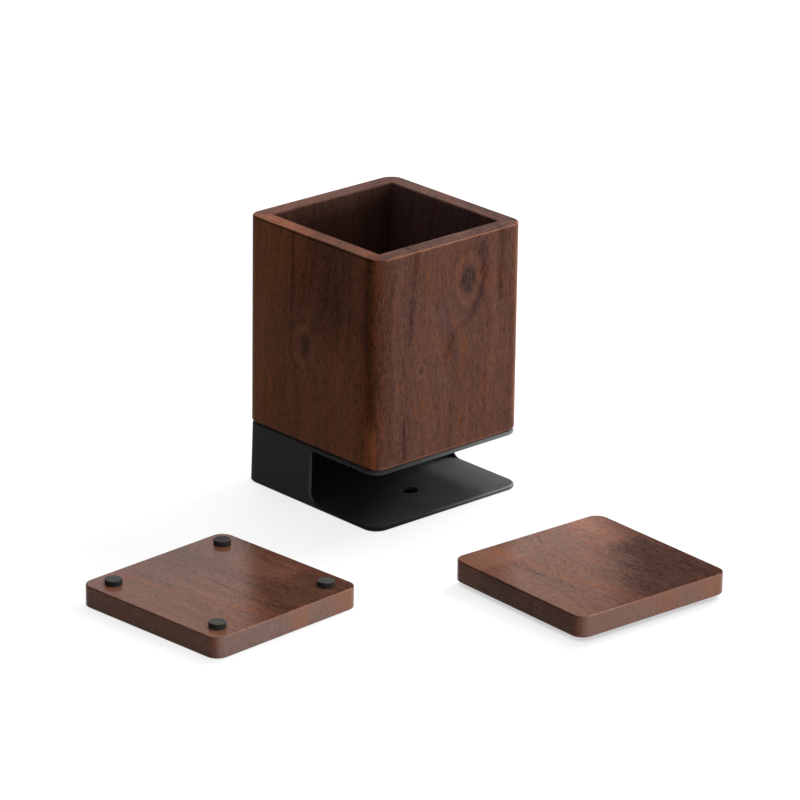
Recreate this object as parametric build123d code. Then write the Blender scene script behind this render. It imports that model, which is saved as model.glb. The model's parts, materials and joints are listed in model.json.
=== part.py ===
from build123d import *
from math import radians, tan
import os

# Pen holder: a mitred wooden cup screwed to a hollow one-piece stand, with two footed coasters that
# slide into the stand from the front, one on the other. Millimetres, +Z up. The origin is the centre
# of the stand's underside. The stand opens to +X, its front, and -Y is its left side.

# Cup
cup_width = 90.0
cup_height = 101.0
wall_thickness = 8.8
cup_corner_radius = 7.0
rim_round = 0.8
cup_base_round = 2.0
floor_thickness = 9.0
rabbet_depth = 4.0
floor_clearance = 0.1

# Stand
stored_coasters = 2
plate_thickness = 2.0
stand_wall = 1.3
stand_overhang = 0.3
stand_draft = 1.4
stand_edge_chamfer = 0.6
side_opening = 45.0
opening_lower_fillet = 5.0
opening_upper_fillet = 1.2
coaster_side_clearance = 0.2
coaster_top_clearance = 0.2
access_hole_diameter = 7.2
access_hole_chamfer = 0.3

# Screws between the stand and the cup's floor
screw_length = 10.0
screw_shank_diameter = 3.5
screw_head_diameter = 6.8
screw_head_land = 0.25
screw_tip_length = 2.5
screw_clearance = 0.1
recess_span = 3.6
recess_width = 1.0
recess_depth = 1.1
screw_spacing = 38.0

# Coasters
coaster_thickness = 10.0
coaster_corner_radius = 6.0
coaster_edge_chamfer = 0.7
foot_diameter = 8.0
foot_height = 2.4
foot_edge_chamfer = 0.5
foot_inset = 10.4
flipped_coaster_x = 62.5
flipped_coaster_y = -151.4
flipped_coaster_turn = 3.6
upright_coaster_x = 155.4
upright_coaster_y = -16.5
upright_coaster_turn = -2.6

# Levels and places that follow from the sizes above
coaster_height = foot_height + coaster_thickness
slot_height = stored_coasters * coaster_height + coaster_top_clearance
slot_ceiling = plate_thickness + slot_height
stand_height = slot_ceiling + plate_thickness
draft_slope = tan(radians(stand_draft))
stand_top_width = cup_width - 2 * stand_overhang
stand_top_radius = cup_corner_radius - stand_overhang
stand_flare = stand_height * draft_slope
hollow_top_width = stand_top_width - 2 * stand_wall
hollow_top_radius = stand_top_radius - stand_wall
hollow_flare = slot_height * draft_slope
opening_x = cup_width / 2 - side_opening
coaster_width = hollow_top_width - 2 * coaster_side_clearance
cavity_width = cup_width - 2 * wall_thickness
rabbet_width = cavity_width + 2 * rabbet_depth
screw_places = [(screw_spacing / 2, 0), (-screw_spacing / 2, 0)]
screw_shank_radius = screw_shank_diameter / 2
screw_head_radius = screw_head_diameter / 2
screw_head_height = screw_head_land + screw_head_radius - screw_shank_radius

# Alignments of a solid along its own height
upwards = (Align.CENTER, Align.CENTER, Align.MIN)
downwards = (Align.CENTER, Align.CENTER, Align.MAX)


def cup_shell():
    """The four walls as one square tube, rounded outside and rabbeted for the floor."""
    with BuildPart() as shell:
        with BuildSketch(Plane.XY.offset(stand_height)):
            RectangleRounded(cup_width, cup_width, cup_corner_radius)
        extrude(amount=cup_height)
        fillet(shell.faces().sort_by(Axis.Z)[0].edges(), cup_base_round)
        with Locations((0, 0, stand_height)):
            Box(cavity_width, cavity_width, cup_height, align=upwards, mode=Mode.SUBTRACT)
            Box(rabbet_width, rabbet_width, floor_thickness, align=upwards, mode=Mode.SUBTRACT)
        fillet(shell.faces().sort_by(Axis.Z)[-1].edges(), rim_round)
    return shell.part


def cup_wall(shell, turn):
    """One wall board: the part of the tube between two mitre planes, turned about Z from +X."""
    with BuildPart() as wedge:
        with BuildSketch(Plane.XY.offset(stand_height)):
            Polygon((0, 0), (cup_width, -cup_width), (cup_width, cup_width), align=None)
        extrude(amount=cup_height)
    return shell & (Rot(0, 0, turn) * wedge.part)


def cup_floor():
    """Floor panel in the rabbet, level with the walls' lower edges, with blind screw holes."""
    panel_width = rabbet_width - 2 * floor_clearance
    hole_depth = screw_length - plate_thickness + screw_clearance
    with BuildPart() as panel:
        with Locations((0, 0, stand_height)):
            Box(panel_width, panel_width, floor_thickness, align=upwards)
        with Locations([(x, y, stand_height) for x, y in screw_places]):
            Cylinder(
                screw_shank_radius + screw_clearance, hole_depth, align=upwards, mode=Mode.SUBTRACT
            )
    return panel.part


def drafted_square(top_width, top_radius, flare):
    """Sketch of a rounded square that narrows to the given top as it is drawn up with draft."""
    return RectangleRounded(top_width + 2 * flare, top_width + 2 * flare, top_radius + flare)


def stand_bracket():
    """One-piece stand: a drafted shell, open at the front and at the front part of both sides."""
    reach = stand_top_width + 2 * stand_flare
    with BuildPart() as stand:
        with BuildSketch():
            drafted_square(stand_top_width, stand_top_radius, stand_flare)
        extrude(amount=stand_height, taper=stand_draft)

        # Side openings, from the front back to the walls, with rounded inner corners
        with BuildSketch(Plane.XZ):
            with Locations((opening_x, plate_thickness)):
                Rectangle(reach, slot_height, align=Align.MIN)
            fillet(vertices().group_by(Axis.X)[0].sort_by(Axis.Y)[0], opening_lower_fillet)
            fillet(vertices().group_by(Axis.X)[0].sort_by(Axis.Y)[-1], opening_upper_fillet)
        extrude(amount=reach, both=True, mode=Mode.SUBTRACT)

        # The openings' outlines, and those of the underside and the top, are chamfered. Of the edges
        # that run across, only the foremost one of each plate is on an outline.
        opening_edges = stand.edges(Select.LAST)
        inner_edges = opening_edges.filter_by(Axis.Y).sort_by(Axis.X)[:-2]
        chamfer(opening_edges - inner_edges, stand_edge_chamfer)
        chamfer(stand.faces().sort_by(Axis.Z)[0].outer_wire().edges(), stand_edge_chamfer)
        chamfer(stand.faces().sort_by(Axis.Z)[-1].outer_wire().edges(), stand_edge_chamfer)

        # Hollow for the coasters, as drafted as the outside
        with BuildSketch(Plane.XY.offset(plate_thickness)):
            drafted_square(hollow_top_width, hollow_top_radius, hollow_flare)
        extrude(amount=slot_height, taper=stand_draft, mode=Mode.SUBTRACT)

        # Countersunk screw holes through the top plate
        with Locations([(x, y, slot_ceiling) for x, y in screw_places]):
            Cylinder(
                screw_shank_radius + screw_clearance,
                plate_thickness,
                align=upwards,
                mode=Mode.SUBTRACT,
            )
            Cylinder(
                screw_head_radius + screw_clearance,
                screw_head_land,
                align=upwards,
                mode=Mode.SUBTRACT,
            )
        with Locations([(x, y, slot_ceiling + screw_head_land) for x, y in screw_places]):
            Cone(
                screw_head_radius + screw_clearance,
                screw_shank_radius + screw_clearance,
                screw_head_height - screw_head_land,
                align=upwards,
                mode=Mode.SUBTRACT,
            )

        # Holes in the lower plate, one under each screw, their upper rims chamfered
        with Locations([(x, y, plate_thickness) for x, y in screw_places]):
            Cylinder(
                access_hole_diameter / 2, plate_thickness, align=downwards, mode=Mode.SUBTRACT
            )
        rims = stand.edges(Select.LAST).filter_by(GeomType.CIRCLE).group_by(Axis.Z)[-1]
        chamfer(rims, access_hole_chamfer)
    return stand.part


def cup_screw():
    """Countersunk wood screw pointing up, its head's face at z = 0, with a cross recess."""
    with BuildPart() as screw:
        with BuildSketch(Plane.XZ):
            with BuildLine():
                Polyline(
                    (0, 0),
                    (screw_head_radius, 0),
                    (screw_head_radius, screw_head_land),
                    (screw_shank_radius, screw_head_height),
                    (screw_shank_radius, screw_length - screw_tip_length),
                    (0, screw_length),
                    close=True,
                )
            make_face()
        revolve(axis=Axis.Z)
        Box(recess_span, recess_width, recess_depth, align=upwards, mode=Mode.SUBTRACT)
        Box(recess_width, recess_span, recess_depth, align=upwards, mode=Mode.SUBTRACT)
    return screw.part


def coaster_board():
    """Square board with rounded corners, above its feet."""
    with BuildPart() as board:
        with BuildSketch(Plane.XY.offset(foot_height)):
            RectangleRounded(coaster_width, coaster_width, coaster_corner_radius)
        extrude(amount=coaster_thickness)
        faces_by_height = board.faces().sort_by(Axis.Z)
        chamfer(faces_by_height[0].edges() + faces_by_height[-1].edges(), coaster_edge_chamfer)
    return board.part


def coaster_foot():
    """Round rubber foot, standing on its eased end at z = 0."""
    with BuildPart() as foot:
        Cylinder(foot_diameter / 2, foot_height, align=upwards)
        chamfer(foot.faces().sort_by(Axis.Z)[0].edges(), foot_edge_chamfer)
    return foot.part


def coaster_pieces(name, place):
    """Named pieces of one coaster: its board and four feet, moved together to their place."""
    offset = coaster_width / 2 - foot_inset
    pieces = {name + "_board": place * coaster_board()}
    corners = [(-offset, -offset), (offset, -offset), (offset, offset), (-offset, offset)]
    for number, (x, y) in enumerate(corners, start=1):
        pieces[f"{name}_foot_{number}"] = place * (Pos(x, y, 0) * coaster_foot())
    return pieces


shell = cup_shell()
parts = {
    "cup_front_wall": cup_wall(shell, 0),
    "cup_right_wall": cup_wall(shell, 90),
    "cup_rear_wall": cup_wall(shell, 180),
    "cup_left_wall": cup_wall(shell, 270),
    "cup_floor": cup_floor(),
    "stand_bracket": stand_bracket(),
    "cup_screws": Compound([Pos(x, y, slot_ceiling) * cup_screw() for x, y in screw_places]),
}

flipped_place = Pos(flipped_coaster_x, flipped_coaster_y, coaster_height) * Rot(
    0, 0, flipped_coaster_turn
)
parts.update(coaster_pieces("flipped_coaster", flipped_place * Rot(180, 0, 0)))

upright_place = Pos(upright_coaster_x, upright_coaster_y, 0) * Rot(0, 0, upright_coaster_turn)
parts.update(coaster_pieces("upright_coaster", upright_place))

os.makedirs("parts", exist_ok=True)
for name, solid in parts.items():
    export_step(solid, f"parts/{name}.step")
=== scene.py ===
import json
import math

import bmesh
import bpy
from mathutils import Matrix, Vector, noise


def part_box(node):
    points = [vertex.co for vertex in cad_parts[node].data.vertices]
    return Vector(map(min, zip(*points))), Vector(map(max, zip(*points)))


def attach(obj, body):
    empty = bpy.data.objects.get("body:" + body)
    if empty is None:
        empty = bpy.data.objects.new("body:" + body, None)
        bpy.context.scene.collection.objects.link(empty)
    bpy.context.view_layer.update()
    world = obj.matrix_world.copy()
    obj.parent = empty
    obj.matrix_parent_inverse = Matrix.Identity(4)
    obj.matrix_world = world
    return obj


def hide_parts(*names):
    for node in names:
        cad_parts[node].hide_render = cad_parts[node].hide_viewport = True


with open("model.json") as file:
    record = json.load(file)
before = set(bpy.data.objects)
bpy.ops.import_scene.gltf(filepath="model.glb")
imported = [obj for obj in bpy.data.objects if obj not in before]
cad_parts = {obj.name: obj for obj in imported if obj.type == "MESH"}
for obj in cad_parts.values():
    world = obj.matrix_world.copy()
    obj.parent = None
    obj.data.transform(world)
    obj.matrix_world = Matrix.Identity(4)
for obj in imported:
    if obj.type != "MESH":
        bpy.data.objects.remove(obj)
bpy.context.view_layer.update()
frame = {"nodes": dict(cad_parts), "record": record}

MILLIMETRES = 1000.0

# Camera, fitted to the edges of the cup in the photograph (metres, square 36 mm sensor)
CAMERA_PLACE = Vector((1.6029, -1.4511, 0.8582))
CAMERA_AHEAD = Vector((-0.69121, 0.63029, -0.35350))
CAMERA_RIGHT = Vector((0.67011, 0.74215, 0.01297))
CAMERA_LENS = 225.0
CAMERA_CLIP_END = 100.0
SENSOR_WIDTH = 36.0

# Lamps: place, target and size in metres, and power in watts
LAMPS = {
    "key": ((1.2, 0.12, 0.14), (0.05, 0.0, 0.08), (1.0, 0.28), 7.9),
    "top": ((-0.42, 0.42, 1.25), (0.05, -0.05, 0.05), (0.9, 0.9), 9.6),
    "panel": ((-0.9414, 0.498, 0.28), (-0.1614, -0.128, 0.28), (0.851, 0.48), 2.01),
    "side": ((0.1, 1.1, 0.5), (0.02, 0.02, 0.02), (0.7, 0.5), 5.0),
    "edge": ((-0.03, 0.92, 1.1), (0.05, -0.02, 0.05), (0.3, 0.3), 9.0),
}
WORLD_COLOUR = (1.0, 1.0, 1.0, 1.0)
WORLD_STRENGTH = 0.28

# Floor, in metres. Its glow is weaker where little of the sky is open above it. Under the stand, out to the
# covered reach, the floor is black with no glow: a painted shadow.
FLOOR_SIZE = 40.0
FLOOR_GREY = (0.3, 0.3, 0.3)
FLOOR_SHADOW_BLACK = (0.0, 0.0, 0.0)
FLOOR_COVERED = 0.035
FLOOR_GLOW = 0.78
FLOOR_SHADE_GLOW = 0.52
FLOOR_SHADE_REACH = 0.15
FLOOR_SHADE_SAMPLES = 8
FLOOR_OPENNESS = (0.1, 0.45)

# Wood colours from dark to light, as (tone, linear colour), and the factors that make them more orange or
# greyer, or as they are on the cup's rim
WOOD_TONES = [
    (0.00, (0.016, 0.007, 0.005)),
    (0.25, (0.058, 0.025, 0.017)),
    (0.50, (0.135, 0.057, 0.037)),
    (0.72, (0.195, 0.083, 0.050)),
    (1.00, (0.310, 0.142, 0.080)),
]
WOOD_ORANGE = (1.22, 0.97, 0.74)
WOOD_GREY = (0.92, 1.02, 1.16)
WOOD_RIM = (1.03, 0.93, 0.85)

# Colours of the coasters' cut ends: their own flecked end grain, made paler and greyer as a painted sheen
END_FLECKS_AND_SHEEN = [(0.25, (0.190, 0.116, 0.096)), (0.75, (0.310, 0.206, 0.178))]
END_ORANGE = (0.360, 0.155, 0.090)

# Finish of the wood: specular level and mean roughness
CUP_FINISH = (0.012, 0.28)
COASTER_FINISH = (0.08, 0.17)

# Layers of the grain: size of a cell in millimetres across, through and along the grain, detail, roughness
# and what is added to the board's seed
GRAIN = {
    "wobble": ((9.0, 9.0, 26.0), 2, 0.5, 0.0),
    "sway": ((50.0, 50.0, 110.0), 1, 0.5, 0.0),
    "wide": ((11.0, 40.0, 150.0), 2, 0.55, 0.0),
    "narrow": ((2.4, 9.0, 45.0), 2, 0.6, 0.0),
    "rings": ((26.0, 1.3, 90.0), 3, 0.6, 0.0),
    "fibres": ((0.5, 0.6, 6.0), 3, 0.6, 0.0),
    "mottle": ((0.9, 0.9, 2.8), 2, 0.55, 0.0),
    "pores": ((0.45, 0.45, 2.4), 0, 0.5, 0.0),
    "row_pores": ((0.55, 0.55, 1.8), 1, 0.5, 3.0),
    "warmth": ((4.5, 20.0, 26.0), 2, 0.6, 5.0),
    "greyness": ((7.0, 20.0, 40.0), 2, 0.6, 8.0),
    "flecks": ((0.7, 2.0, 40.0), 3, 0.65, 0.0),
    "clouds": ((4.0, 4.0, 60.0), 2, 0.6, 9.0),
}

# Depths of tone of the layers that a board's contrast scales, and of those that its fineness scales
WIDE_DEPTHS = {"wide": 0.32, "narrow": 0.26, "rings": 0.8}
FINE_DEPTHS = {"fibres": 0.36, "mottle": 0.40, "pores": -0.18}
MEAN_TONE = 0.5

# What the layers add to the sheen of the coasters, and to the roughness and the relief of all the wood
SHEEN_DEPTHS = {"fibres": 0.6, "mottle": 0.6, "pores": -0.5, "heart": -0.75}
ROUGH_DEPTHS = {"fibres": 0.14, "pores": 0.12}
RELIEF_DEPTHS = {"fibres": 0.5, "pores": -0.6}
RELIEF = (0.25, 0.0002)

# Where noise, normals and millimetres turn into shares, as (none, all)
END_FACING = (0.6, 0.95)
PORE_FADE = (0.13, 0.25)
ROW_PORE_FADE = (0.0, 0.12)
WARMTH_FADE = (0.02, 0.28)
GREYNESS_FADE = (0.0, 0.28)
CLOUD_FADE = (-0.24, 0.02)
CLOUD_MOST = 0.8
INNER_FADE = (-5.0, -30.0)

# Run of the growth layers: how far they sway and wobble to the side, in millimetres, and their slant
GROWTH_SWAY = 26.0
GROWTH_WOBBLE = 5.0
GROWTH_SLANT = 0.6

# Streaks: how far they sway, half the width up to which they don't, how far their path's curve reaches past
# its points, all in millimetres, and the share of their length over which each end fades
STREAK_SWAY = 3.0
STREAK_STRAIGHT = 1.0
STREAK_MARGIN = 1.0
STREAK_END = 0.15

# Share of an edge line's radius within which its tone is full. The edge lines paint highlights, light and
# shade.
EDGE_FULL = 0.45

# Knots, from their middle outwards in units of their half size: fade of the dark core and of the grey, rings
# as (radius, width, share of the depth), unevenness, and how far and how wide they push the grain aside
KNOT_CORE = (1.15, 0.55)
KNOT_GREY = (1.4, 0.5)
KNOT_RINGS = [(1.45, 0.30, 0.45), (2.05, 0.22, -0.30)]
KNOT_WOBBLE = 0.5
KNOT_PUSH = 2.2
KNOT_PUSH_WIDTH = 2.6

# Sizes of the boards in millimetres: the cup's half width, lower end and upper end, from the frame, and
# half the width and half the thickness of a coaster
cup_low, cup_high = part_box("cup_front_wall")
CUP_HALF = MILLIMETRES * cup_high.x
CUP_BASE = MILLIMETRES * cup_low.z
CUP_TOP = MILLIMETRES * cup_high.z
COASTER_HALF = 43.2
COASTER_HALF_THICKNESS = 5.0

# Paths that more than one feature follows
FRONT_SWIRL = [(18.5, 124.0), (19.9, 112.0), (15.5, 95.6), (1.5, 84.0), (-5.0, 70.0)]
# Right outline of the front wall, along which a light, warm streak paints a rim light
FRONT_RIM_LIGHT = [(43.6, 140.0), (43.6, 20.0)]
# Left side of a coaster, where a streak paints shade on the upright one and a faint light on the flipped one
COASTER_SIDE = [(-43.6, 60.0), (-43.6, -60.0)]
# Corner of the upright coaster where a lighter, greyer streak paints a sheen
COASTER_SHEEN_CORNER = [(-28.0, -27.0), (-28.0, -62.0)]

# What both coasters have, because they are cut from one board
COASTER_LINE = ([(-8.0, 36.0), (-15.0, 15.0), (-20.0, -4.0), (-22.0, -44.0)], 1.4, 0.9)
COASTER_WOOD = {
    "axes": "YZX",
    "tint": (1.3, 1.3, 1.3),
    "contrast": 0.68,
    "fineness": 0.8,
    "ring_cell": (0.7, 9.0, 90.0),
    "rows": [
        ([(-13.0, 30.0), (-16.5, 5.0), (-18.5, -42.0)], 1.6),
        ([(-22.0, 20.0), (-25.0, -10.0), (-26.0, -38.0)], 2.0),
        ([(-4.0, 16.0), (-7.0, -8.0), (-4.0, -34.0)], 2.2),
    ],
    "ends": [(35.0, 9.0), (7.0, 6.0)],
}

# The boards, with places in millimetres as (across, along) the grain. The axes are those across, through
# and along the grain, and the seed shifts the noise. The tint is a factor on the colour, and the inner tint
# one on the faces inside the cup. A knot has a centre, half its size and its depth of tone. A streak has
# points from its upper end to its lower one, half its width and its depth of tone. A warm or grey streak has
# its share of orange or grey instead, and a row of large pores has neither. An edge line has the two faces
# that meet there, its radius and its tone: light tones there are painted highlights and painted light, dark
# ones painted shade. The dull and shaded side is the darker side of a line, a painted shade where the
# sheen's reflection is missing, given by the line's normal, its distance, half the width of its blur and its
# depth of tone; its share also dulls the sheen. The contrast is that of the wide grain and the fineness that
# of the fine grain. The end tone is added on the faces across the grain. The ends are orange patches on the
# cut ends, each with its place and its width across the grain, and the end share is how much of the cut
# ends' own colours shows. The ring cell is the size of a growth layer on the cut ends.
BOARDS = {
    "cup_front_wall": {
        "axes": "YXZ",
        "seed": 3.7,
        "tint": (1.04, 1.10, 1.22),
        "edges": [
            # Painted highlight along the rim's outer edge, and painted light on the rounded lower edge,
            # which faces into shade
            (("through", CUP_HALF), ("along", CUP_TOP), 0.8, 0.45),
            (("through", CUP_HALF), ("along", CUP_BASE), 2.2, 0.30),
        ],
        "end_tone": -0.15,
        "knots": [((10.1, 110.1), (4.9, 7.2), 0.18), ((-17.9, 72.4), (1.5, 2.4), 0.18)],
        "streaks": [
            (FRONT_SWIRL, 3.2, 0.13),
            ([(-21.5, 130.0), (-23.5, 105.0), (-25.2, 84.0)], 1.5, 0.14),
            ([(31.4, 129.0), (30.8, 110.0), (30.5, 93.0)], 1.8, 0.15),
            ([(-27.8, 50.0), (-27.5, 31.0)], 0.7, 0.14),
            # Painted shade across the front wall's half of the rounded front corner
            ([(-43.2, 140.0), (-43.0, 80.0), (-43.6, 20.0)], 3.4, 0.20),
            ([(-37.0, 140.0), (-37.0, 20.0)], 2.4, 0.11),
            # Painted rim light along the right outline
            (FRONT_RIM_LIGHT, 2.6, -0.75),
        ],
        "warm": [
            ([(-42.0, 140.0), (-41.5, 80.0), (-42.5, 20.0)], 3.0, 0.9),
            # Warm colour of the painted rim light along the right outline
            (FRONT_RIM_LIGHT, 3.0, 0.8),
        ],
        "grey": [
            (FRONT_SWIRL, 2.6, 0.7),
            ([(-23.5, 122.0), (-23.5, 105.0), (-25.2, 84.0)], 1.3, 0.7),
            ([(-4.0, 100.0), (-4.0, 58.0)], 9.0, 0.8),
        ],
    },
    "cup_left_wall": {
        "axes": "XYZ",
        "seed": 11.3,
        "tint": (1.28, 1.12, 0.86),
        "edges": [
            # Painted shade along the rim's outer edge, and a painted shadow line along the rounded lower
            # edge
            (("through", -CUP_HALF), ("along", CUP_TOP), 1.2, -0.25),
            (("through", -CUP_HALF), ("along", CUP_BASE), 2.0, -0.45),
        ],
        "end_tone": 0.01,
        "knots": [((-4.3, 77.0), (4.8, 5.7), 0.14)],
        "streaks": [
            ([(-12.0, 127.0), (-12.8, 97.0), (-14.1, 80.0)], 1.5, 0.12),
            ([(40.5, 140.0), (39.0, 92.0), (40.5, 69.0), (42.5, 42.0)], 4.2, 0.22),
            ([(35.8, 52.0), (35.6, 31.0)], 0.6, 0.14),
            ([(-43.0, 120.0), (-43.0, 10.0)], 9.0, -0.10),
            ([(12.0, 300.0), (10.0, 68.0)], 22.0, 0.20),
            ([(18.6, 112.0), (18.2, 74.0)], 0.7, 0.10),
            ([(26.4, 98.0), (26.8, 40.0)], 0.8, 0.08),
        ],
        "warm": [
            ([(38.5, 140.0), (38.0, 92.0), (39.5, 20.0)], 6.0, 0.9),
            ([(-15.0, 300.0), (-15.0, 82.0)], 20.0, 0.7),
        ],
        "grey": [([(-8.0, 104.0), (-6.0, 52.0)], 9.0, 0.6)],
    },
    "cup_rear_wall": {
        "axes": "YXZ",
        "seed": 23.9,
        "tint": (0.78, 0.77, 0.86),
        "inner_tint": (0.92, 1.05, 1.10),
        "end_tone": 0.05,
        "streaks": [([(31.0, 150.0), (31.0, 30.0)], 15.0, 0.09)],
    },
    "cup_right_wall": {
        "axes": "XYZ",
        "seed": 31.1,
        "tint": (0.86, 0.92, 1.05),
        "inner_tint": (0.78, 1.00, 1.20),
        "end_tone": -0.07,
        "streaks": [([(28.0, 150.0), (28.0, 30.0)], 15.0, 0.08)],
    },
    "cup_floor": {"axes": "YZX", "seed": 41.7},
    "flipped_coaster_board": {
        **COASTER_WOOD,
        "seed": 53.3,
        "streaks": [
            ([(-0.2, 15.0), (0.3, 2.0), (1.0, -8.0)], 0.26, 0.50),
            ([(1.9, -17.0), (2.4, -24.0)], 0.26, 0.34),
            ([(2.2, -26.0), (1.6, -38.0)], 0.5, 0.14),
            # Faint painted light along the left side
            (COASTER_SIDE, 0.9, -0.02),
            # Painted sheen as a lighter streak
            ([(30.0, 10.0), (31.0, -60.0)], 10.0, -0.15),
        ],
        "warm": [COASTER_LINE],
        # Dark side: painted shade where the sheen's reflection is missing; its share also dulls the sheen
        "heartwood": ((0.754, 0.657), 14.8, 8.5, 0.20),
        "edges": [
            # Painted highlight along the right top edge, and painted shade along the left top edge
            (("along", COASTER_HALF), ("through", COASTER_HALF_THICKNESS), 0.6, 0.40),
            (("across", -COASTER_HALF), ("through", COASTER_HALF_THICKNESS), 0.9, -0.12),
        ],
    },
    "upright_coaster_board": {
        **COASTER_WOOD,
        "seed": 61.9,
        "streaks": [
            ([(-15.3, 26.0), (-17.0, -5.0), (-19.3, -40.0)], 1.6, -0.08),
            ([(20.3, -21.0), (20.5, -29.0)], 1.2, 0.12),
            ([(37.0, 43.0), (33.0, 18.0)], 4.0, 0.05),
            # Painted shade along the left side
            (COASTER_SIDE, 0.9, 0.20),
            # Painted sheen as a lighter streak
            ([(30.0, -18.0), (31.0, -110.0)], 11.0, -0.24),
            # Painted sheen: a lighter corner
            (COASTER_SHEEN_CORNER, 18.0, -0.20),
        ],
        "warm": [COASTER_LINE, (COASTER_SIDE, 0.9, 1.0)],
        # Greyness of the painted sheen at the corner
        "grey": [(COASTER_SHEEN_CORNER, 18.0, 1.0)],
        # Dark side: painted shade where the sheen's reflection is missing; its share also dulls the sheen
        "heartwood": ((0.794, 0.609), 12.5, 15.0, 0.27),
        "edges": [
            # Painted highlight along the right top edge, and painted shade along the left top edge
            (("along", COASTER_HALF), ("through", COASTER_HALF_THICKNESS), 0.6, 0.40),
            (("across", -COASTER_HALF), ("through", COASTER_HALF_THICKNESS), 0.9, -0.15),
        ],
        "end_share": 0.5,
    },
}

# What a board has unless its own entry says otherwise
PLAIN_CONTRAST = 1.0
PLAIN_END_SHARE = 0.8

# Powder coat of the stand, with noise layers as (cell in metres, detail, roughness), the coat's colours as
# (tone, linear colour), and what the layers add to its tone and its roughness
METAL_LAYERS = {
    "grain": ((0.00035, 0.00035, 0.00035), 3, 0.6),
    "cloud": ((0.02, 0.02, 0.02), 3, 0.6),
}
METAL_COAT = [(0.3, (0.039, 0.039, 0.0398)), (0.7, (0.054, 0.054, 0.0548))]
# Painted light on the lower plate's open part, and painted shade on its covered part and its sides
METAL_PAINTED_LIGHT = (0.11, 0.11, 0.11)
METAL_SHADED = (0.022, 0.022, 0.022)
# Painted shade inside the stand and on the walls of its holes
METAL_INSIDE_SHADE = (0.003, 0.003, 0.003)
# Painted highlight on the front edges
METAL_EDGE_HIGHLIGHT = (0.25, 0.25, 0.255)
METAL_TONE_DEPTHS = {"grain": 0.15, "cloud": 0.2}
METAL_ROUGH_DEPTHS = {"grain": 0.1, "cloud": 0.1}
METAL_ROUGHNESS = 0.68
METAL_SPECULAR = 0.04
METAL_RELIEF = (0.12, 0.0001)

# Where the coat changes, as (none, all), in metres or, for facings, in shares of a normal. Painted light on
# the lower plate lies to the front and, by its slant, to the right. The front edges' painted highlight grows
# to the right and is less at the lower level.
INSIDE_FADE = (-0.005, -0.03)
PLATE_LIGHT_SLANT = 0.6
PLATE_LIGHT_FADE = (-0.005, 0.034)
PLATE_LIGHT_MOST = 0.82
PLATE_LIGHT_MEAN = 0.9
UPWARD_FADE = (0.8, 1.0)
PLATE_SIDE_LEVELS = (0.0026, 0.002)
PLATE_SIDE_FRONT = (0.0, 0.008)
PLATE_SIDE_FACING = (0.95, 0.8)
EDGE_HIGHLIGHT_FACING = (0.3, 0.65)
EDGE_HIGHLIGHT_FRONT = (0.036, 0.042)
EDGE_HIGHLIGHT_RIGHT = (-0.038, 0.05)
EDGE_HIGHLIGHT_LEVELS = (0.0012, 0.0018)
EDGE_HIGHLIGHT_LOWER = 0.5

# The two holes in the lower plate: their distance from the stand's middle and their radius, in metres,
# and the factor on the radius within which a face is a hole's wall
front_hole = next(mount for mount in frame["record"]["mounts"] if mount["name"] == "front_hole")
HOLE_OFFSET = front_hole["pos_m"][0]
HOLE_RADIUS = front_hole["dims"]["r_mm"] / MILLIMETRES
HOLE_MARGIN = 1.02

# Plating of the screws
SCREW_LAYERS = {"grain": ((0.0006, 0.0006, 0.0002), 3, 0.6)}
SCREW_COLOURS = [(0.3, (0.42, 0.43, 0.45)), (0.7, (0.60, 0.61, 0.63))]
SCREW_ROUGH_DEPTHS = {"grain": 0.2}
SCREW_ROUGHNESS = 0.34

# Rubber of the feet. The lift is what a face across the foot's axis adds to the tone.
RUBBER_LAYERS = {
    "cells": ((0.0013, 0.0013, 0.0007), 3, 0.65),
    "specks": ((0.0004, 0.0004, 0.0004), 2, 0.6),
}
RUBBER_COLOURS = [
    (0.0, (0.010, 0.009, 0.008)),
    (0.5, (0.040, 0.037, 0.034)),
    (1.0, (0.105, 0.099, 0.092)),
]
RUBBER_TONE_DEPTHS = {"cells": 0.9, "specks": 0.7}
RUBBER_TONE = 0.2
RUBBER_FACING = (0.3, 0.9)
RUBBER_LIFT = 0.42
RUBBER_ROUGH_DEPTHS = {"cells": 0.2}
RUBBER_ROUGHNESS = 0.75
RUBBER_SPECULAR = 0.2
RUBBER_RELIEF = (0.5, 0.0004)

# Coaster meshes: radii of the corners and of the rounded edges in metres, and steps of each quarter turn
CORNER_RADIUS = 0.006
CORNER_STEPS = 14
EDGE_ROUND = 0.0006
ROUND_STEPS = 6

# Foot meshes: sides, radius of the eased end in metres, rings on the straight side as shares of its height,
# and rings on the end as shares of its radius
FOOT_SIDES = 64
FOOT_EASING = 0.0004
FOOT_LEVELS = (0.0, 0.33, 0.66)
FOOT_END_RINGS = (0.82, 0.64, 0.46, 0.28, 0.1)

# Unevenness of the feet: its depth and reach in metres, its fineness and where it starts
FOOT_WEAR = 0.00018
FOOT_REACH = 0.004
FOOT_WEAR_SCALE = 900.0
FOOT_SEED = 7.3


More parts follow.
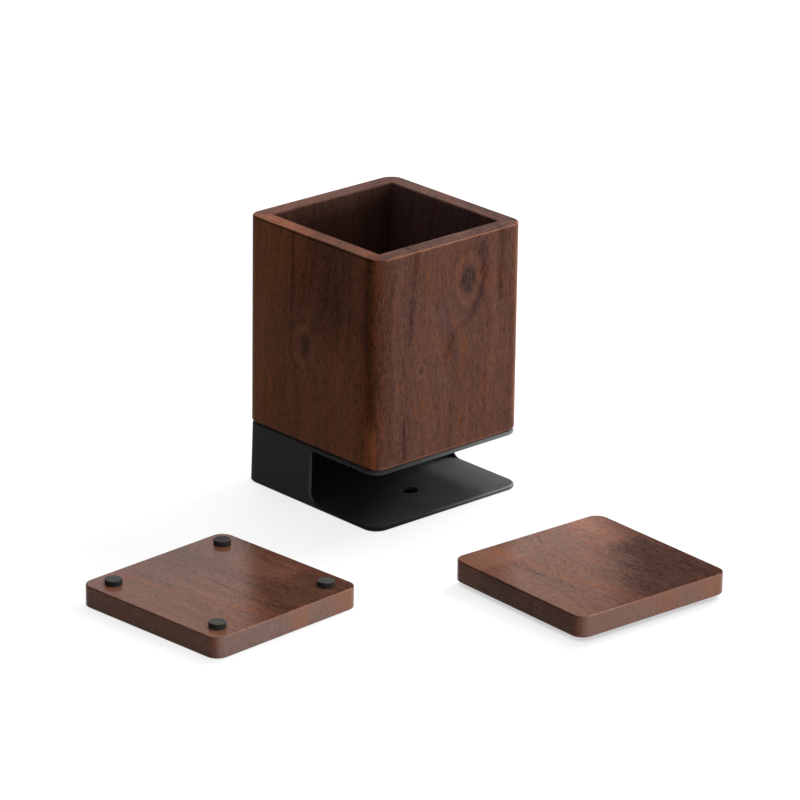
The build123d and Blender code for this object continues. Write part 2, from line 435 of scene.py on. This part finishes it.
class Graph:
    """Adds shader nodes to a new material and links them."""

    def __init__(self, name):
        self.material = bpy.data.materials.new(name)
        self.material.use_nodes = True
        self.tree = self.material.node_tree
        self.shader = self.tree.nodes["Principled BSDF"]

    def feed(self, socket, value):
        """Links a socket to an input, or sets the input to a constant."""
        if isinstance(value, bpy.types.NodeSocket):
            self.tree.links.new(value, socket)
        else:
            socket.default_value = value

    def add(self, kind, inputs, **settings):
        """New node of a kind, with its settings and with values or sockets for its inputs."""
        node = self.tree.nodes.new(kind)
        for key, value in settings.items():
            setattr(node, key, value)
        for key, value in inputs.items():
            self.feed(node.inputs[key], value)
        return node

    def split(self, vector):
        """The X, Y and Z of a vector."""
        return self.add("ShaderNodeSeparateXYZ", {0: vector}).outputs

    def join(self, x, y, z):
        """Vector of an X, a Y and a Z."""
        return self.add("ShaderNodeCombineXYZ", {0: x, 1: y, 2: z}).outputs[0]

    def math(self, operation, *values):
        """Result of one operation."""
        return self.add("ShaderNodeMath", dict(enumerate(values)), operation=operation).outputs[0]

    def chain(self, operation, first, *others):
        """Result of an operation on a first value and each of the others in turn."""
        for other in others:
            first = self.math(operation, first, other)
        return first

    def total(self, *values):
        """Sum of values."""
        return self.chain("ADD", *values)

    def product(self, *values):
        """Product of values."""
        return self.chain("MULTIPLY", *values)

    def largest(self, *values):
        """Largest of values."""
        return self.chain("MAXIMUM", *values)

    def weighted(self, layers, weights, *others):
        """Sum of named layers, each times its weight, and of other values."""
        return self.total(*[self.product(layers[name], weight) for name, weight in weights.items()], *others)

    def distance(self, *offsets):
        """Distance that offsets along several axes make together."""
        return self.math("SQRT", self.total(*[self.product(offset, offset) for offset in offsets]))

    def fade(self, value, start, end, low=0.0, high=1.0):
        """Smooth step of a value from low at start to high at end."""
        inputs = {"Value": value, "From Min": start, "From Max": end, "To Min": low, "To Max": high}
        return self.add("ShaderNodeMapRange", inputs, interpolation_type="SMOOTHSTEP").outputs[0]

    def bell(self, value, centre, width):
        """Gaussian of a value around a centre."""
        offset = self.math("DIVIDE", self.math("SUBTRACT", value, centre), width)
        return self.math("EXPONENT", self.product(offset, offset, -1.0))

    def noise(self, vector, cell, detail, rough, shift=0.0):
        """Noise centred on zero, with cells of a size along each axis."""
        scale = [1.0 / size for size in cell]
        inputs = {"Vector": vector, "Scale": scale, "Location": (shift, -shift, shift)}
        place = self.add("ShaderNodeMapping", inputs).outputs[0]
        inputs = {"Vector": place, "Scale": 1.0, "Detail": detail, "Roughness": rough}
        return self.math("SUBTRACT", self.add("ShaderNodeTexNoise", inputs).outputs[0], 0.5)

    def layers(self, vector, table):
        """Named noise layers from a table of cells, details and roughnesses."""
        return {name: self.noise(vector, *values) for name, values in table.items()}

    def ramp(self, value, stops):
        """Colour of a value between coloured stops."""
        node = self.add("ShaderNodeValToRGB", {0: value})
        elements = node.color_ramp.elements
        while len(elements) < len(stops):
            elements.new(0.5)
        for element, (position, colour) in zip(elements, stops):
            element.position = position
            element.color = (*colour, 1.0)
        return node.outputs[0]

    def mix(self, share, first, second, blend="MIX"):
        """First colour with a share of the second one blended in."""
        node = self.add("ShaderNodeMix", {}, data_type="RGBA", blend_type=blend)
        self.feed(node.inputs["Factor"], share)
        for key, value in (("A", first), ("B", second)):
            socket = next(s for s in node.inputs if s.name == key and s.type == "RGBA")
            self.feed(socket, value if isinstance(value, bpy.types.NodeSocket) else (*value, 1.0))
        return next(s for s in node.outputs if s.type == "RGBA")

    def tint(self, share, colour, factor):
        """Colour of which a share is multiplied by a coloured factor."""
        return self.mix(share, colour, factor, "MULTIPLY")

    def bump(self, height, strength, distance):
        """Normal of a surface with a relief."""
        inputs = {"Height": height, "Strength": strength, "Distance": distance}
        return self.add("ShaderNodeBump", inputs).outputs[0]

    def finish(self, inputs):
        """The material, with values or sockets for the inputs of its shader."""
        for key, value in inputs.items():
            self.feed(self.shader.inputs[key], value)
        return self.material


class Wood:
    """Nodes of one board's oiled wood: a solid texture around the board's home place and turn."""

    def __init__(self, name, home, turn):
        self.board = BOARDS[name]
        self.graph = Graph(name)
        graph = self.graph
        coordinates = graph.add("ShaderNodeTexCoord", {}).outputs
        inputs = {0: coordinates["Object"], "Location": home, "Rotation": (0.0, 0.0, turn)}
        local = graph.add("ShaderNodeMapping", inputs, vector_type="TEXTURE").outputs[0]
        inputs = {0: local, "Scale": MILLIMETRES}
        millimetres = graph.add("ShaderNodeVectorMath", inputs, operation="SCALE").outputs[0]
        axes = self.board["axes"]
        sides = graph.split(millimetres)
        self.across, self.through, self.along = [sides[axis] for axis in axes]
        self.place = graph.join(self.across, self.through, self.along)
        normals = graph.split(coordinates["Normal"])
        self.outward = normals[axes[1]]
        self.facing = graph.fade(graph.math("ABSOLUTE", normals[axes[2]]), *END_FACING)
        self.wobble = self.noise("wobble", self.place)
        self.layers = {"facing": self.facing}
        self.tones = []
        self.greys = []
        self.pushes = []

    def noise(self, name, vector, cell=None):
        """One layer of the grain, with a cell of its own if one is given."""
        usual_cell, detail, rough, shift = GRAIN[name]
        return self.graph.noise(vector, cell or usual_cell, detail, rough, self.board["seed"] + shift)

    def streak(self, across, points, width):
        """Share of one soft line that follows points along the grain and fades out at its ends."""
        graph = self.graph
        low = points[-1][1]
        high = points[0][1]
        left = min(point[0] for point in points) - STREAK_MARGIN
        right = max(point[0] for point in points) + STREAK_MARGIN
        inputs = {"Value": self.along, "From Min": low, "From Max": high}
        place = graph.add("ShaderNodeMapRange", inputs).outputs[0]
        node = graph.add("ShaderNodeFloatCurve", {"Value": place})
        curve = node.mapping.curves[0]
        while len(curve.points) < len(points):
            curve.points.new(0.5, 0.5)
        for spot, (u, v) in zip(curve.points, reversed(points)):
            spot.location = ((v - low) / (high - low), (u - left) / (right - left))
        node.mapping.update()
        inputs = {"Value": node.outputs[0], "To Min": left, "To Max": right}
        path = graph.add("ShaderNodeMapRange", inputs).outputs[0]
        reach = STREAK_END * (high - low)
        lower_end = graph.fade(self.along, low, low + reach)
        upper_end = graph.fade(self.along, high + reach, high)
        return graph.product(graph.bell(across, path, width), lower_end, upper_end)

    def streak_shares(self, kind):
        """Shares of the board's warm or grey streaks."""
        streaks = self.board.get(kind, [])
        return [self.graph.product(self.streak(self.across, *line), share) for *line, share in streaks]

    def add_knots(self):
        """Knots with a dark, greyer core and a light ring, which push the grain aside."""
        graph = self.graph
        for centre, half_size, depth in self.board.get("knots", []):
            u = graph.math("DIVIDE", graph.math("SUBTRACT", self.across, centre[0]), half_size[0])
            v = graph.math("DIVIDE", graph.math("SUBTRACT", self.along, centre[1]), half_size[1])
            radius = graph.total(graph.distance(u, v), graph.product(self.wobble, KNOT_WOBBLE))
            self.tones.append(graph.product(graph.fade(radius, *KNOT_CORE), -depth))
            for middle, width, share in KNOT_RINGS:
                self.tones.append(graph.product(graph.bell(radius, middle, width), share * depth))
            self.greys.append(graph.fade(radius, *KNOT_GREY))
            push = graph.bell(radius, 0.0, KNOT_PUSH_WIDTH)
            self.pushes.append(graph.product(push, KNOT_PUSH * half_size[0]))

    def add_streaks(self):
        """Dark or light streaks. The wider ones sway, and fine ones run straight."""
        graph = self.graph
        swayed = graph.total(self.across, graph.product(self.wobble, STREAK_SWAY))
        for points, width, depth in self.board.get("streaks", []):
            across = swayed if width > STREAK_STRAIGHT else self.across
            self.tones.append(graph.product(self.streak(across, points, width), -depth))

    def add_edge_light_and_shade(self):
        """Painted highlights and light, and painted shade, as light or dark tones along edges."""
        graph = self.graph
        sides = {"across": self.across, "through": self.through, "along": self.along}
        for *faces, radius, tone in self.board.get("edges", []):
            reach = graph.distance(*[graph.math("SUBTRACT", sides[side], place) for side, place in faces])
            self.tones.append(graph.fade(reach, radius, EDGE_FULL * radius, 0.0, tone))

    def add_heartwood(self):
        """Painted shade on one side of a soft line, where the sheen's reflection is missing, except on the
        cut ends.
        """
        graph = self.graph
        if "heartwood" in self.board:
            (slope, rise), distance, blur, depth = self.board["heartwood"]
            offset = graph.total(graph.product(self.across, slope), graph.product(self.along, rise))
            heart = graph.fade(offset, distance - blur, distance + blur)
            heart = graph.product(heart, graph.math("SUBTRACT", 1.0, self.facing))
            self.layers["heart"] = heart
            self.tones.append(graph.product(heart, -depth))

    def all_pores(self):
        """Share of the small pores everywhere and of the large ones in rows."""
        graph = self.graph
        pores = graph.fade(self.noise("pores", self.place), *PORE_FADE)
        if "rows" in self.board:
            specks = graph.fade(self.noise("row_pores", self.place), *ROW_PORE_FADE)
            rows = graph.total(*[self.streak(self.across, *row) for row in self.board["rows"]])
            pores = graph.largest(pores, graph.product(specks, rows))
        return pores

    def lay_grain(self):
        """Growth layers, which sway along the grain and part around the knots, and the finer grain."""
        graph = self.graph
        sway = graph.product(self.noise("sway", self.place), GROWTH_SWAY)
        slant = graph.product(self.through, GROWTH_SLANT)
        wobble = graph.product(self.wobble, GROWTH_WOBBLE)
        growth = graph.total(self.across, sway, slant, wobble, *self.pushes)
        self.section = graph.join(growth, self.through, self.along)
        for name in ("wide", "narrow", "fibres"):
            self.layers[name] = self.noise(name, self.section)
        self.layers["mottle"] = self.noise("mottle", self.place)
        self.layers["pores"] = self.all_pores()
        rings = self.noise("rings", self.place, self.board.get("ring_cell"))
        self.layers["rings"] = graph.product(rings, self.facing)

    def tone(self):
        """Tone from the layers of the grain and the features of the board."""
        contrast = self.board.get("contrast", PLAIN_CONTRAST)
        fineness = self.board.get("fineness", contrast)
        weights = {"facing": self.board.get("end_tone", 0.0)}
        weights.update({name: contrast * depth for name, depth in WIDE_DEPTHS.items()})
        weights.update({name: fineness * depth for name, depth in FINE_DEPTHS.items()})
        return self.graph.weighted(self.layers, weights, MEAN_TONE, *self.tones)

    def colour(self):
        """Colour from the tone, with orange and grey parts, tints and the faces across the grain."""
        graph = self.graph
        colour = graph.ramp(self.tone(), WOOD_TONES)
        warmth = graph.fade(self.noise("warmth", self.section), *WARMTH_FADE)
        colour = graph.tint(graph.largest(warmth, *self.streak_shares("warm")), colour, WOOD_ORANGE)
        greyness = graph.fade(self.noise("greyness", self.section), *GREYNESS_FADE)
        greyness = graph.largest(greyness, *self.greys, *self.streak_shares("grey"))
        colour = graph.tint(greyness, colour, WOOD_GREY)
        if "tint" in self.board:
            colour = graph.tint(1.0, colour, self.board["tint"])
        if "inner_tint" in self.board:
            inside = graph.fade(graph.product(self.through, self.outward), *INNER_FADE)
            colour = graph.tint(inside, colour, self.board["inner_tint"])
        if "ends" in self.board:
            return self.cut_ends(colour)
        return graph.tint(self.facing, colour, WOOD_RIM)

    def cut_ends(self, colour):
        """Colour with the board's cut ends laid over it: short upright flecks, paled by a painted sheen, and
        a few orange patches.
        """
        graph = self.graph
        flecks = graph.total(self.noise("flecks", self.place), MEAN_TONE)
        ends = graph.ramp(flecks, END_FLECKS_AND_SHEEN)
        clouds = graph.fade(self.noise("clouds", self.place), *CLOUD_FADE, 0.0, CLOUD_MOST)
        for centre, width in self.board["ends"]:
            patch = graph.product(graph.bell(self.across, centre, width), clouds)
            ends = graph.mix(patch, ends, END_ORANGE)
        share = graph.product(self.facing, self.board.get("end_share", PLAIN_END_SHARE))
        return graph.mix(share, colour, ends)

    def material(self, finish):
        """The finished material. On a board with a dull and shaded side the grain also varies the sheen."""
        graph = self.graph
        specular, roughness = finish
        if "heart" in self.layers:
            specular = graph.product(graph.weighted(self.layers, SHEEN_DEPTHS, 1.0), specular)
        relief = graph.weighted(self.layers, RELIEF_DEPTHS)
        inputs = {
            "Base Color": self.colour(),
            "Roughness": graph.weighted(self.layers, ROUGH_DEPTHS, roughness),
            "Normal": graph.bump(relief, *RELIEF),
            "Specular IOR Level": specular,
        }
        return graph.finish(inputs)


def wood_material(name, finish, home=(0.0, 0.0, 0.0), turn=0.0):
    """Oiled dark wood of one board."""
    wood = Wood(name, home, turn)
    wood.add_knots()
    wood.add_streaks()
    wood.add_edge_light_and_shade()
    wood.add_heartwood()
    wood.lay_grain()
    return wood.material(finish)


def inside_shade_share(graph, place, facing):
    """Share of painted shade inside the stand: faces looking towards its middle, and the walls of the two
    holes.
    """
    outward = graph.total(graph.product(place["X"], facing["X"]), graph.product(place["Y"], facing["Y"]))
    offset = graph.math("SUBTRACT", graph.math("ABSOLUTE", place["X"]), HOLE_OFFSET)
    hole = graph.math("LESS_THAN", graph.distance(offset, place["Y"]), HOLE_MARGIN * HOLE_RADIUS)
    return graph.largest(graph.fade(outward, *INSIDE_FADE), hole)


def lit_plate(graph, place, cloud):
    """Colour of the lower plate: painted light to the right and front, where it is most open, else painted
    shade.
    """
    openness = graph.total(place["X"], graph.product(place["Y"], PLATE_LIGHT_SLANT))
    plate_light = graph.fade(openness, *PLATE_LIGHT_FADE, 0.0, PLATE_LIGHT_MOST)
    return graph.mix(graph.product(plate_light, graph.total(cloud, PLATE_LIGHT_MEAN)), METAL_SHADED, METAL_PAINTED_LIGHT)


def plate_side_share(graph, place, facing):
    """Share of the lower plate's sides, which get the same painted shade as its shaded part."""
    return graph.product(
        graph.fade(place["Z"], *PLATE_SIDE_LEVELS),
        graph.fade(place["X"], *PLATE_SIDE_FRONT),
        graph.fade(facing["Z"], *PLATE_SIDE_FACING),
    )


def edge_highlight_share(graph, place, facing):
    """Share of the front edges with a painted highlight, most at the right and least low on the lower plate.
    """
    return graph.product(
        graph.fade(place["Y"], *EDGE_HIGHLIGHT_RIGHT),
        graph.fade(place["Z"], *EDGE_HIGHLIGHT_LEVELS, EDGE_HIGHLIGHT_LOWER, 1.0),
        graph.fade(facing["X"], *EDGE_HIGHLIGHT_FACING),
        graph.fade(place["X"], *EDGE_HIGHLIGHT_FRONT),
    )


def metal_material():
    """Matt black powder coat with painted shade inside, painted light and shade facing up and painted edge
    highlights.
    """
    graph = Graph("stand_metal")
    coordinates = graph.add("ShaderNodeTexCoord", {}).outputs
    place = graph.split(coordinates["Object"])
    facing = graph.split(coordinates["Normal"])
    layers = graph.layers(coordinates["Object"], METAL_LAYERS)
    colour = graph.ramp(graph.weighted(layers, METAL_TONE_DEPTHS, MEAN_TONE), METAL_COAT)
    colour = graph.mix(inside_shade_share(graph, place, facing), colour, METAL_INSIDE_SHADE)
    plate = lit_plate(graph, place, layers["cloud"])
    colour = graph.mix(graph.fade(facing["Z"], *UPWARD_FADE), colour, plate)
    colour = graph.mix(plate_side_share(graph, place, facing), colour, METAL_SHADED)
    colour = graph.mix(edge_highlight_share(graph, place, facing), colour, METAL_EDGE_HIGHLIGHT)
    inputs = {
        "Base Color": colour,
        "Roughness": graph.weighted(layers, METAL_ROUGH_DEPTHS, METAL_ROUGHNESS),
        "Normal": graph.bump(layers["grain"], *METAL_RELIEF),
        "Specular IOR Level": METAL_SPECULAR,
    }
    return graph.finish(inputs)


def screw_material():
    """Bright zinc plating with a faint turned grain."""
    graph = Graph("screw_steel")
    place = graph.add("ShaderNodeTexCoord", {}).outputs["Object"]
    layers = graph.layers(place, SCREW_LAYERS)
    inputs = {
        "Base Color": graph.ramp(graph.total(layers["grain"], MEAN_TONE), SCREW_COLOURS),
        "Roughness": graph.weighted(layers, SCREW_ROUGH_DEPTHS, SCREW_ROUGHNESS),
        "Metallic": 1.0,
    }
    return graph.finish(inputs)


def rubber_material():
    """Matt dark grey foam rubber with a coarse cut face and darker sides."""
    graph = Graph("foot_rubber")
    coordinates = graph.add("ShaderNodeTexCoord", {}).outputs
    layers = graph.layers(coordinates["Object"], RUBBER_LAYERS)
    upright = graph.math("ABSOLUTE", graph.split(coordinates["Normal"])["Z"])
    lift = graph.fade(upright, *RUBBER_FACING, 0.0, RUBBER_LIFT)
    tone = graph.weighted(layers, RUBBER_TONE_DEPTHS, lift, RUBBER_TONE)
    inputs = {
        "Base Color": graph.ramp(tone, RUBBER_COLOURS),
        "Roughness": graph.weighted(layers, RUBBER_ROUGH_DEPTHS, RUBBER_ROUGHNESS),
        "Normal": graph.bump(tone, *RUBBER_RELIEF),
        "Specular IOR Level": RUBBER_SPECULAR,
    }
    return graph.finish(inputs)


def floor_material():
    """Pale floor: white to the eye and in reflections with a faint shadow, a plain grey bounce otherwise."""
    graph = Graph("floor")
    graph.tree.nodes.remove(graph.shader)
    path = graph.add("ShaderNodeLightPath", {}).outputs
    seen = graph.largest(path["Is Camera Ray"], path["Is Glossy Ray"], path["Is Transmission Ray"])

    # The part under the stand is black with no glow, a painted shadow, and the glow is weaker close under
    # the coasters
    place = graph.split(graph.add("ShaderNodeTexCoord", {}).outputs["Object"])
    reach = graph.largest(graph.math("ABSOLUTE", place["X"]), graph.math("ABSOLUTE", place["Y"]))
    uncovered = graph.math("GREATER_THAN", reach, FLOOR_COVERED)
    grey = graph.mix(uncovered, FLOOR_SHADOW_BLACK, FLOOR_GREY)
    plain = graph.add("ShaderNodeBsdfDiffuse", {"Color": grey}).outputs[0]
    inputs = {"Distance": FLOOR_SHADE_REACH}
    occlusion = graph.add("ShaderNodeAmbientOcclusion", inputs, samples=FLOOR_SHADE_SAMPLES)
    strength = graph.fade(occlusion.outputs["AO"], *FLOOR_OPENNESS, FLOOR_SHADE_GLOW, FLOOR_GLOW)
    strength = graph.product(strength, uncovered)
    glow = graph.add("ShaderNodeEmission", {"Strength": strength}).outputs[0]
    white = graph.add("ShaderNodeAddShader", {0: plain, 1: glow}).outputs[0]
    surface = graph.add("ShaderNodeMixShader", {0: seen, 1: plain, 2: white}).outputs[0]
    graph.feed(graph.tree.nodes["Material Output"].inputs["Surface"], surface)
    return graph.material


def quarter_turn(share):
    """Angle of a share of a quarter turn."""
    return math.radians(90.0 * share)


def rounded_square(half, radius, height):
    """Ring of points round a square with rounded corners."""
    ring = []
    for corner in range(4):
        middle = quarter_turn(corner + 0.5)
        reach = math.sqrt(2.0) * (half - radius)
        centre = Vector((reach * math.cos(middle), reach * math.sin(middle), height))
        for step in range(CORNER_STEPS + 1):
            angle = quarter_turn(corner + step / CORNER_STEPS)
            ring.append(centre + radius * Vector((math.cos(angle), math.sin(angle), 0.0)))
    return ring


def mesh_of_rings(name, rings):
    """Closed mesh through rings of as many points each, capped at both ends."""
    mesh = bpy.data.meshes.new(name)
    build = bmesh.new()
    loops = [[build.verts.new(point) for point in ring] for ring in rings]
    for lower, upper in zip(loops, loops[1:]):
        for i in range(len(lower)):
            j = (i + 1) % len(lower)
            build.faces.new((lower[i], lower[j], upper[j], upper[i]))
    build.faces.new(list(reversed(loops[0])))
    build.faces.new(loops[-1])
    for face in build.faces:
        face.smooth = len(face.verts) == 4
    build.to_mesh(mesh)
    build.free()
    return mesh


def add_piece(name, mesh, matrix, material, node, body):
    """Puts a mesh, moved by a matrix, in place of a CAD node."""
    mesh.transform(matrix)
    piece = bpy.data.objects.new(name, mesh)
    bpy.context.scene.collection.objects.link(piece)
    mesh.materials.append(material)
    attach(piece, body)
    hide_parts(node)


def box_centre(node):
    """Middle of a CAD node's box."""
    low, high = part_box(node)
    return (low + high) / 2


def coaster_board(coaster, turn):
    """Board with rounded edges, in the place and at the turn of its CAD node."""
    node = coaster + "_board"
    centre = box_centre(node)
    back = Matrix.Rotation(-turn, 4, "Z") @ Matrix.Translation(-centre)
    points = [back @ vertex.co for vertex in frame["nodes"][node].data.vertices]
    half = max(point.x for point in points)
    half_height = max(point.z for point in points)
    rings = []
    for side in (-1, 1):
        for step in range(ROUND_STEPS + 1):
            angle = quarter_turn((step if side < 0 else ROUND_STEPS - step) / ROUND_STEPS)
            inset = EDGE_ROUND * (1.0 - math.sin(angle))
            height = side * (half_height - EDGE_ROUND * (1.0 - math.cos(angle)))
            rings.append(rounded_square(half - inset, CORNER_RADIUS - inset, height))
    mesh = mesh_of_rings(node + "_rounded", rings)
    matrix = Matrix.Translation(centre) @ Matrix.Rotation(turn, 4, "Z")
    material = wood_material(node, COASTER_FINISH, centre, turn)
    add_piece(node + "_rounded", mesh, matrix, material, node, coaster)


def foot_profile(radius, height):
    """Outline of a foot from its glued end to the middle of its free end, as (radius, level)."""
    profile = [(radius, share * (height - FOOT_EASING)) for share in FOOT_LEVELS]
    for step in range(ROUND_STEPS + 1):
        angle = quarter_turn(step / ROUND_STEPS)
        inset = FOOT_EASING * (1.0 - math.cos(angle))
        drop = FOOT_EASING * (1.0 - math.sin(angle))
        profile.append((radius - inset, height - drop))
    profile += [(radius * share, height) for share in FOOT_END_RINGS]
    return profile


def ragged(point, seed):
    """Point of a foot moved inwards a little, as its cut face and sides are uneven."""
    unevenness = noise.noise(point * FOOT_WEAR_SCALE + Vector((seed, 0.0, 0.0)))
    wear = FOOT_WEAR * (0.5 + 0.5 * unevenness)
    inwards = Vector((point.x, point.y, 0.0)) * (wear / FOOT_REACH)
    down = Vector((0.0, 0.0, wear if point.z > 0.0 else 0.0))
    return point - inwards - down


def coaster_foot(coaster, number, free_end, material):
    """Round foot with an eased, uneven free end, in the place of its CAD node."""
    node = f"{coaster}_foot_{number}"
    low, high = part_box(node)
    turns = [math.tau * side / FOOT_SIDES for side in range(FOOT_SIDES)]
    rings = []
    for reach, level in foot_profile((high.x - low.x) / 2, high.z - low.z):
        ring = [Vector((reach * math.cos(turn), reach * math.sin(turn), level)) for turn in turns]
        rings.append([ragged(point, FOOT_SEED * number * free_end) for point in ring])
    base = box_centre(node)
    base.z = low.z if free_end > 0 else high.z
    matrix = Matrix.Translation(base)
    if free_end < 0:
        matrix = matrix @ Matrix.Rotation(math.pi, 4, "X")
    mesh = mesh_of_rings(node + "_eased", rings)
    add_piece(node + "_eased", mesh, matrix, material, node, coaster)


def add_coasters():
    """The two coasters. The free ends of the feet point up on the flipped one."""
    rubber = rubber_material()
    for coaster, free_end in (("flipped_coaster", 1), ("upright_coaster", -1)):
        line = box_centre(coaster + "_foot_2") - box_centre(coaster + "_foot_1")
        coaster_board(coaster, math.atan2(line.y, line.x))
        for number in range(1, 5):
            coaster_foot(coaster, number, free_end, rubber)


def dress(node, material):
    """Gives a CAD node its material."""
    mesh = frame["nodes"][node].data
    mesh.materials.clear()
    mesh.materials.append(material)


def add_floor():
    """Floor under the part."""
    bpy.ops.mesh.primitive_plane_add(size=FLOOR_SIZE)
    floor = bpy.context.object
    floor.name = "floor"
    floor.data.materials.append(floor_material())


def add_lamp(name, place, target, size, power):
    """Soft rectangular lamp that the camera doesn't see itself."""
    lamp = bpy.data.lights.new(name, "AREA")
    lamp.shape = "RECTANGLE"
    lamp.size, lamp.size_y = size
    lamp.energy = power
    obj = bpy.data.objects.new(name, lamp)
    aim = Vector(target) - Vector(place)
    obj.matrix_world = Matrix.Translation(place) @ aim.to_track_quat("-Z", "Y").to_matrix().to_4x4()
    obj.visible_camera = False
    bpy.context.scene.collection.objects.link(obj)


def add_world():
    """Even white light from all sides."""
    world = bpy.context.scene.world or bpy.data.worlds.new("world")
    bpy.context.scene.world = world
    world.use_nodes = True
    background = world.node_tree.nodes["Background"]
    background.inputs["Color"].default_value = WORLD_COLOUR
    background.inputs["Strength"].default_value = WORLD_STRENGTH


def add_camera():
    """Camera at the photograph's viewing angle."""
    data = bpy.data.cameras.new("camera")
    data.lens = CAMERA_LENS
    data.sensor_width = SENSOR_WIDTH
    data.clip_end = CAMERA_CLIP_END
    camera = bpy.data.objects.new("camera", data)
    ahead = CAMERA_AHEAD.normalized()
    right = (CAMERA_RIGHT - ahead * CAMERA_RIGHT.dot(ahead)).normalized()
    up = right.cross(ahead)
    turn = Matrix((right, up, -ahead)).transposed()
    camera.matrix_world = Matrix.Translation(CAMERA_PLACE) @ turn.to_4x4()
    bpy.context.scene.collection.objects.link(camera)
    bpy.context.scene.camera = camera


for node in ("cup_front_wall", "cup_left_wall", "cup_rear_wall", "cup_right_wall", "cup_floor"):
    dress(node, wood_material(node, CUP_FINISH))
dress("stand_bracket", metal_material())
dress("cup_screws", screw_material())
add_coasters()

add_floor()
for name, values in LAMPS.items():
    add_lamp(name, *values)
add_world()
add_camera()
bpy.context.scene.view_settings.view_transform = "Standard"
